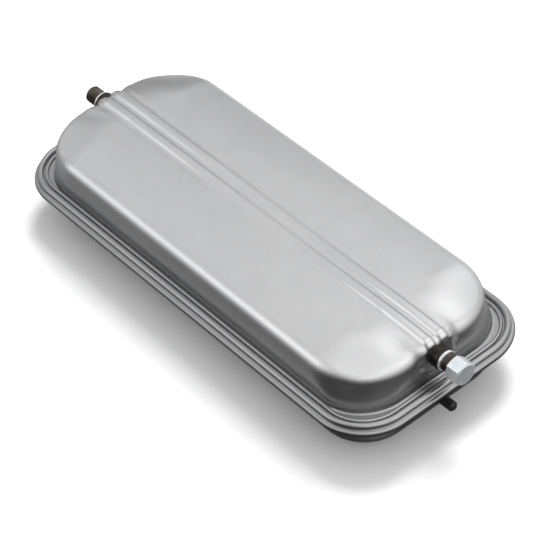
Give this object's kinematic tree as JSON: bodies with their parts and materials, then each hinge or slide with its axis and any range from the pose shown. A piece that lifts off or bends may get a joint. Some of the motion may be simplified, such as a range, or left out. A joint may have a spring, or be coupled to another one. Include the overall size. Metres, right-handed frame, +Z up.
{
  "type": "flat diaphragm expansion vessel",
  "caption": "Flat rounded-rectangle pressed-steel diaphragm vessel with a hemmed rim, twin centre ribs, a male water nipple, a hex-capped nipple and a capped charging valve.",
  "frame": {"origin": "centre of the flat underside that the vessel lies on", "axes": "+X along the body towards the capped nipple and the charging valve, +Z up through the ribbed panel"},
  "size_m": [0.515, 0.205, 0.0955],
  "materials": {
    "shell_steel": "bare satin cold-rolled sheet",
    "dark_steel": "dark brown oiled steel",
    "zinc": "bright zinc plate",
    "brass": "turned brass",
    "spring_steel": "drawn wire",
    "diaphragm_rubber": "moulded rubber",
    "seal_rubber": "moulded rubber",
    "cap_plastic": "black moulded plastic"
  },
  "bodies": {
    "vessel": {"upper_shell": "shell_steel", "lower_shell": "shell_steel", "diaphragm_bead": "diaphragm_rubber", "diaphragm_skirt": "diaphragm_rubber", "water_collar": "dark_steel", "water_washer": "zinc", "water_nipple": "dark_steel", "plug_collar": "dark_steel", "plug_washer": "zinc", "plug_nipple": "dark_steel", "valve_bush": "dark_steel", "valve_stem": "brass", "core_body": "brass", "core_spring": "spring_steel"},
    "diaphragm_middle": {"diaphragm_centre": "diaphragm_rubber"},
    "hex_cap_carrier": {"hex_cap_seal": "seal_rubber"},
    "hex_cap_body": {"hex_cap": "zinc"},
    "valve_cap_carrier": {"valve_cap_seal": "seal_rubber"},
    "valve_cap_body": {"valve_cap": "cap_plastic"},
    "valve_pin": {"core_pin": "brass", "core_seal": "seal_rubber"}
  },
  "joints": [
    {"name": "diaphragm_travel", "type": "slide", "parent": "vessel", "child": "diaphragm_middle", "axis": [0, 0, 1], "range_m": [-0.009, 0.02], "stiffness_N_per_m": 4000, "deforming": ["diaphragm_skirt"]},
    {"name": "hex_cap_travel", "type": "slide", "parent": "vessel", "child": "hex_cap_carrier", "axis": [1, 0, 0], "range_m": [0, 0.0135]},
    {"name": "hex_cap_turn", "type": "hinge", "parent": "hex_cap_carrier", "child": "hex_cap_body", "pos_m": [0.257, 0, 0.0735], "axis": [-1, 0, 0], "range_deg": [0, 3600]},
    {"name": "valve_cap_travel", "type": "slide", "parent": "vessel", "child": "valve_cap_carrier", "axis": [1, 0, 0], "range_m": [0, 0.0142]},
    {"name": "valve_cap_turn", "type": "hinge", "parent": "valve_cap_carrier", "child": "valve_cap_body", "pos_m": [0.2405, 0, 0.0215], "axis": [-1, 0, 0], "range_deg": [0, 6480]},
    {"name": "valve_pin_press", "type": "slide", "parent": "vessel", "child": "valve_pin", "axis": [-1, 0, 0], "range_m": [0, 0.0015], "stiffness_N_per_m": 600, "springref_m": -0.002, "deforming": ["core_spring"]}
  ],
  "couplings": [
    {"joint": "hex_cap_travel", "follows": "hex_cap_turn", "m_per_rad": 0.00021279},
    {"joint": "valve_cap_turn", "follows": "valve_cap_travel", "rad_per_m": 7913.3}
  ]
}
